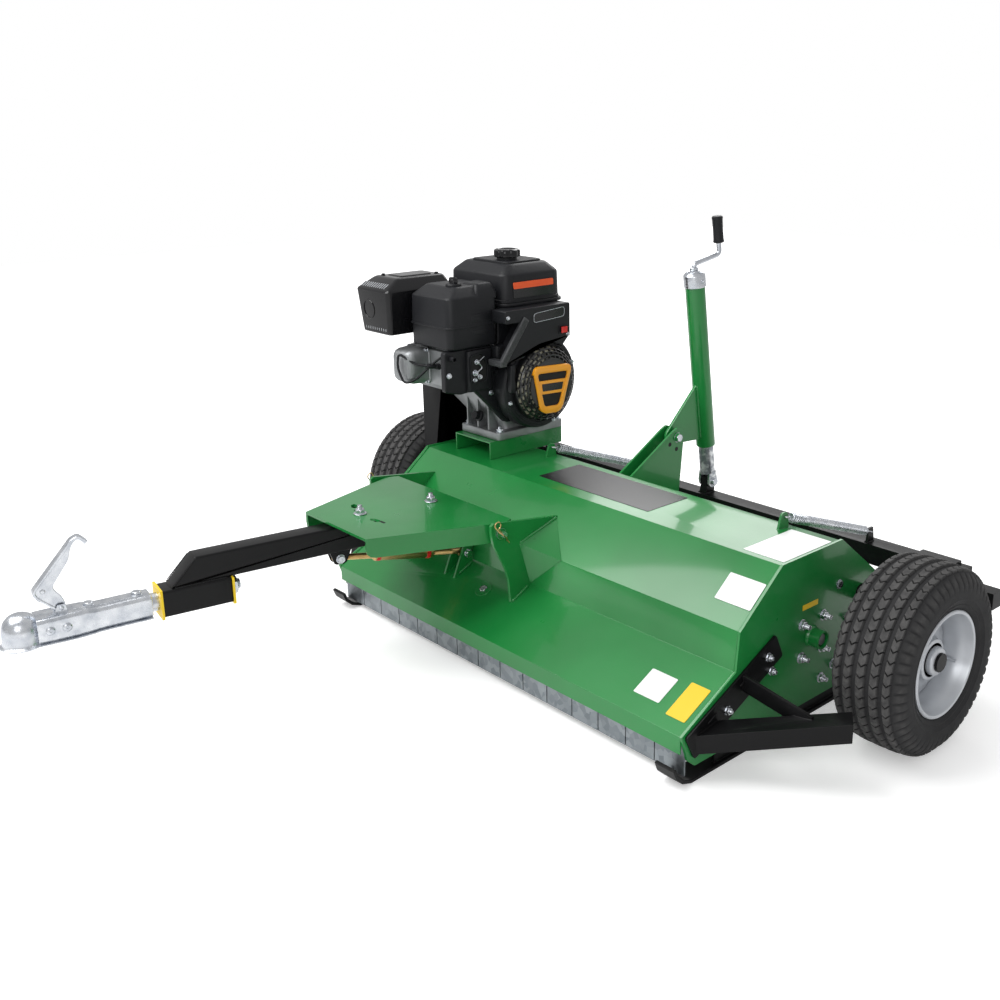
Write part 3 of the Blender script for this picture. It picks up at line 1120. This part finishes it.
def arc_slot(middle):
    """Slot that follows a circle about the drawbar's pivot, in the hitch plate's outline."""
    line = []
    for radius, direction in ((LOCK_RADIUS + slot_half, 1), (LOCK_RADIUS - slot_half, -1)):
        for index in range(SLOT_STEPS + 1):
            angle = middle + direction * LOCK_PLAY * (2 * index / SLOT_STEPS - 1)
            line.append((radius * math.sin(angle), draw_pivot_local - radius * math.cos(angle)))
        angle = middle + direction * (LOCK_PLAY + math.asin(slot_half / LOCK_RADIUS))
        line.append((LOCK_RADIUS * math.sin(angle), draw_pivot_local - LOCK_RADIUS * math.cos(angle)))
    return line


slots = [arc_slot(DRAW_SWING + step * SLOT_SPACING) for step in (-1, 0, 1)]
plate_line = [(-HITCH_FRONT_HALF, HITCH_FRONT), (HITCH_FRONT_HALF, HITCH_FRONT),
              (HITCH_REAR_HALF, HITCH_REAR - 0.030),
              (HITCH_REAR_HALF - 0.012, HITCH_REAR), (-HITCH_REAR_HALF + 0.012, HITCH_REAR),
              (-HITCH_REAR_HALF, HITCH_REAR - 0.030)]
hitch_parts = [prism([plate_line, *slots, circle((0, draw_pivot_local), BOLT + BOLT_CLEARANCE, 8)],
                     plate_base, plate_high, "Z")]
flange_run = Vector((HITCH_REAR_HALF - HITCH_FRONT_HALF, HITCH_REAR - 0.030 - HITCH_FRONT))
flange_length = flange_run.length
flange_line = rounded([(0, plate_high), (0, plate_high - HITCH_FLANGE),
                       (flange_length, plate_high - HITCH_FLANGE),
                       (flange_length, plate_high)], [0, 0.022, 0.010, 0], 3)
flange_flat = prism([flange_line], 0, HITCH_SHEET)
for side in (-1, 1):
    along = Vector((side * flange_run.x, flange_run.y, 0)).normalized()
    inward = Vector((-side * flange_run.y, flange_run.x, 0)).normalized()
    start = Vector((side * HITCH_FRONT_HALF, HITCH_FRONT, 0))
    frame = Matrix(((inward.x, along.x, 0, start.x), (inward.y, along.y, 0, start.y), (0, 0, 1, 0),
                    (0, 0, 0, 1)))
    hitch_parts.append(placed(flange_flat, frame))
pin_bore = (HITCH_PIN + FIT) / math.cos(math.pi / 12)
hitch_solid = drill(weld(*hitch_parts),
                    turned([(0, -0.300), (pin_bore, -0.300), (pin_bore, 0.300), (0, 0.300)],
                                               12, "X"))
hitch_pivot = (HITCH_X, HINGE_Y, HINGE_Z)
piece("hitch_plate", hitch_solid, GREEN, hitch_pivot, (HITCH_TILT, 0.0, 0.0), local=True)

# Drawbar, drawn from its swing pivot: mitred tube, swivel tube below its end, bolts and lug
draw_low = DRAW_TOP - DRAW_HEIGHT
swivel_z = draw_low - SWIVEL_SIZE / 2
draw_pivot = (HITCH_X, DRAW_PIVOT_Y, 0.0)
draw_turn = (0.0, 0.0, DRAW_SWING)
draw_parts = [prism([[(DRAW_REAR, draw_low), (DRAW_REAR, DRAW_TOP), (DRAW_FRONT_TOP, DRAW_TOP),
                      (DRAW_FRONT_LOW, draw_low - 0.001), (DRAW_FRONT_LOW + 0.060, draw_low - 0.001)]],
                    -DRAW_WIDTH / 2, DRAW_WIDTH / 2)]
shank_hole = bore((0, swivel_z), SHANK, 14)
half_tube = SWIVEL_SIZE / 2
draw_parts.append(prism([box_line(-half_tube, half_tube, swivel_z - half_tube, swivel_z + half_tube),
                         shank_hole],
                        SWIVEL_FRONT, SWIVEL_REAR, "Y"))
bush_half = half_tube + BUSH_PROUD
for low, high in ((SWIVEL_FRONT - BUSH_PLATE, SWIVEL_FRONT + 0.001),
                  (SWIVEL_REAR - 0.001, SWIVEL_REAR + BUSH_PLATE)):
    top = swivel_z + half_tube - 0.001 if low > SWIVEL_FRONT else swivel_z + bush_half
    draw_parts.append(prism([box_line(-bush_half, bush_half, swivel_z - bush_half, top), shank_hole], low,
                            high, "Y"))
tilt_rise = math.tan(-HITCH_TILT)
washer_radius = 0.016
for place_y in (0.0, -LOCK_RADIUS):
    plate_here = (HINGE_Z + HITCH_TOP / math.cos(HITCH_TILT)
                  + (HINGE_Y - DRAW_PIVOT_Y - place_y * math.cos(DRAW_SWING)) * tilt_rise)
    washer = plate_here + washer_radius * tilt_rise + FIT
    draw_parts.append(turned([(0, DRAW_TOP - 0.010), (BOLT, DRAW_TOP - 0.010), (BOLT, washer),
                              (washer_radius, washer),
                              (washer_radius, washer + 0.0025), (0.0105, washer + 0.0025),
                              (0.0105, washer + 0.013),
                              (BOLT, washer + 0.013), (BOLT, washer + 0.022), (0, washer + 0.022)], 8, "Z",
                             (0.0, place_y)))
eye_half = 0.007
for side in (-1, 1):
    span = sorted((side * (eye_half + 0.0006), side * (eye_half + 0.0006 + LUG_SHEET)))
    draw_parts.append(prism([[(TURNBUCKLE_Y - 0.026, draw_low + 0.002),
                              (TURNBUCKLE_Y + 0.030, draw_low + 0.002),
                              (TURNBUCKLE_Y + 0.012, TURNBUCKLE_Z - 0.013),
                              (TURNBUCKLE_Y - 0.012, TURNBUCKLE_Z - 0.013)]],
                            *span))
lug_bolt = eye_half + LUG_SHEET + 0.009
draw_parts.append(turned([(0, -lug_bolt), (NUT, -lug_bolt), (NUT, -lug_bolt + 0.008),
                          (BOLT, -lug_bolt + 0.008),
                          (BOLT, lug_bolt - 0.008), (NUT, lug_bolt - 0.008), (NUT, lug_bolt),
                          (0, lug_bolt)], 6, "X",
                         (TURNBUCKLE_Y, TURNBUCKLE_Z)))
piece("drawbar", weld(*draw_parts), BLACK, draw_pivot, draw_turn, local=True)
buckle_pivot = (HITCH_X + TURNBUCKLE_Y * -math.sin(DRAW_SWING),
                DRAW_PIVOT_Y + TURNBUCKLE_Y * math.cos(DRAW_SWING),
                TURNBUCKLE_Z)

# Turnbuckle between the drawbar's lug and the deck's bracket, in two pieces that screw together: the
# front eye with the sleeve, and the rear rod, whose eye has play on its bolt
buckle_start = Vector((0, TURNBUCKLE_Y, TURNBUCKLE_Z))
buckle_run = Vector((0, *TURNBUCKLE_REAR)) - buckle_start
reach = buckle_run.length
buckle_frame = Matrix.Translation(buckle_start) @ buckle_run.to_track_quat("Z", "Y").to_matrix().to_4x4()
sleeve_bore = TURNBUCKLE_ROD + TURNBUCKLE_RUN
sleeve_end = reach * 0.74
front_line = [(0, 0.012), (TURNBUCKLE_ROD, 0.012), (TURNBUCKLE_ROD, reach * 0.25),
              (TURNBUCKLE_SLEEVE, reach * 0.28),
              (TURNBUCKLE_SLEEVE, sleeve_end), (sleeve_bore, sleeve_end), (sleeve_bore, reach * 0.38),
              (0, reach * 0.38)]
rear_line = [(0, reach * 0.46), (TURNBUCKLE_ROD, reach * 0.46), (TURNBUCKLE_ROD, reach - 0.012),
             (0, reach - 0.012)]
for name, line, place, play in (("turnbuckle_sleeve", front_line, (TURNBUCKLE_Y, TURNBUCKLE_Z), FIT * 2),
                                ("turnbuckle_rod", rear_line, TURNBUCKLE_REAR, OPEN_PIVOT)):
    eye = turned([(BOLT + play, -eye_half), (TURNBUCKLE_EYE, -eye_half), (TURNBUCKLE_EYE, eye_half),
                  (BOLT + play, eye_half)], 12, "X", place, closed=True)
    solid = placed(weld(placed(turned(line, 12, "Z"), buckle_frame), eye), Matrix.Translation(-buckle_start))
    piece(name, solid, GOLD_ZINC, buckle_pivot, draw_turn, local=True)

# Ball coupler, drawn in the drawbar's frame about the swivel axis
dome_line = [(0, DOME_TOP), (0.018, DOME_TOP - 0.004), (0.031, DOME_TOP - 0.017),
             (DOME_RADIUS, DOME_TOP - 0.036),
             (DOME_RADIUS, COUPLER_LOW + 0.010), (DOME_RADIUS + 0.006, COUPLER_LOW + 0.004),
             (DOME_RADIUS + 0.006, COUPLER_LOW), (BALL_SOCKET + 0.003, COUPLER_LOW),
             (BALL_SOCKET, COUPLER_LOW + 0.014),
             (BALL_SOCKET, DOME_TOP - 0.040), (0.020, DOME_TOP - 0.022), (0.010, DOME_TOP - 0.014),
             (0, DOME_TOP - 0.012)]
neck_low = DOME_Y + DOME_RADIUS - 0.006
body_rings = [(neck_low, -0.034, 0.034, COUPLER_LOW, DOME_TOP - 0.012),
              (neck_low + 0.080, -0.030, 0.030, COUPLER_LOW - 0.002, COUPLER_TOP),
              (neck_low + 0.110, -COUPLER_HALF, COUPLER_HALF, COUPLER_LOW, COUPLER_TOP - 0.004),
              (COUPLER_REAR, -COUPLER_HALF, COUPLER_HALF, COUPLER_LOW + 0.002, COUPLER_TOP - 0.002)]
coupler_parts = [turned(dome_line, 14, "Z", (0, DOME_Y)), stacked(body_rings, 0.008, 2, "Y"),
                 turned([(0, COUPLER_REAR - 0.004), (SHANK, COUPLER_REAR - 0.004),
                         (SHANK, SWIVEL_REAR + BUSH_PLATE + FIT * 2),
                         (0.0265, SWIVEL_REAR + BUSH_PLATE + FIT * 2),
                         (0.0265, SWIVEL_REAR + BUSH_PLATE + 0.012),
                         (0.012, SWIVEL_REAR + BUSH_PLATE + 0.012),
                         (0.012, SWIVEL_REAR + BUSH_PLATE + 0.020), (0, SWIVEL_REAR + BUSH_PLATE + 0.020)],
                        14, "Y",
                        (0, swivel_z))]
for bolt_y in (-0.790, -0.694):
    coupler_parts.append(turned([(0, COUPLER_TOP - 0.008), (0.0105, COUPLER_TOP - 0.008),
                                 (0.0105, COUPLER_TOP + 0.006),
                                 (0, COUPLER_TOP + 0.006)], 6, "Z", (0, bolt_y)))
lever_y0, lever_z0 = LEVER_PIVOT
cheek_low = COUPLER_TOP - 0.002
lever_cheek = rounded([(lever_y0 - 0.014, cheek_low), (lever_y0 + 0.012, cheek_low),
                       (lever_y0 + 0.007, lever_z0 + 0.007), (lever_y0 - 0.007, lever_z0 + 0.007)],
                      [0, 0, 0.004, 0.004], 2)
cheek_in = LEVER_THICK / 2 + FIT
for side in (-1, 1):
    coupler_parts.append(prism([lever_cheek], *sorted((side * cheek_in, side * (cheek_in + LEVER_CHEEK)))))
pin_end = cheek_in + LEVER_CHEEK + 0.003
coupler_parts.append(turned([(0, -pin_end), (LEVER_PIN, -pin_end), (LEVER_PIN, pin_end), (0, pin_end)], 8,
                            "X",
                            LEVER_PIVOT))
coupler_solid = placed(weld(*coupler_parts), Matrix.Translation((0, 0, -swivel_z)))
coupler_pivot = (HITCH_X, DRAW_PIVOT_Y, swivel_z)
piece("coupler_body", coupler_solid, ZINC, coupler_pivot, draw_turn, local=True)
lever_outline = rounded([(lever_y0 - 0.008, lever_z0 - 0.0098), (lever_y0 + 0.012, lever_z0 - 0.004),
                         (lever_y0 - 0.008, lever_z0 + 0.042), (lever_y0 + 0.034, lever_z0 + 0.104),
                         (lever_y0 + 0.060, lever_z0 + 0.118), (lever_y0 + 0.066, lever_z0 + 0.130),
                         (lever_y0 + 0.050, lever_z0 + 0.146), (lever_y0 + 0.034, lever_z0 + 0.140),
                         (lever_y0 - 0.052, lever_z0 + 0.042), (lever_y0 - 0.046, lever_z0 + 0.026)],
                        [0.006, 0.008, 0.014, 0.014, 0.004, 0.006, 0.008, 0.006, 0.008, 0.010], 2)
lever_world = Matrix.Rotation(DRAW_SWING, 4, "Z") @ Vector((0, lever_y0, 0))
lever_pivot = (HITCH_X + lever_world.x, DRAW_PIVOT_Y + lever_world.y, lever_z0)
lever_local = placed(prism([lever_outline, bore(LEVER_PIVOT, LEVER_PIN, 8)], -LEVER_THICK / 2,
                           LEVER_THICK / 2),
                     Matrix.Translation((0, -lever_y0, -lever_z0)))
piece("coupler_lever", lever_local, ZINC, lever_pivot, draw_turn, local=True)
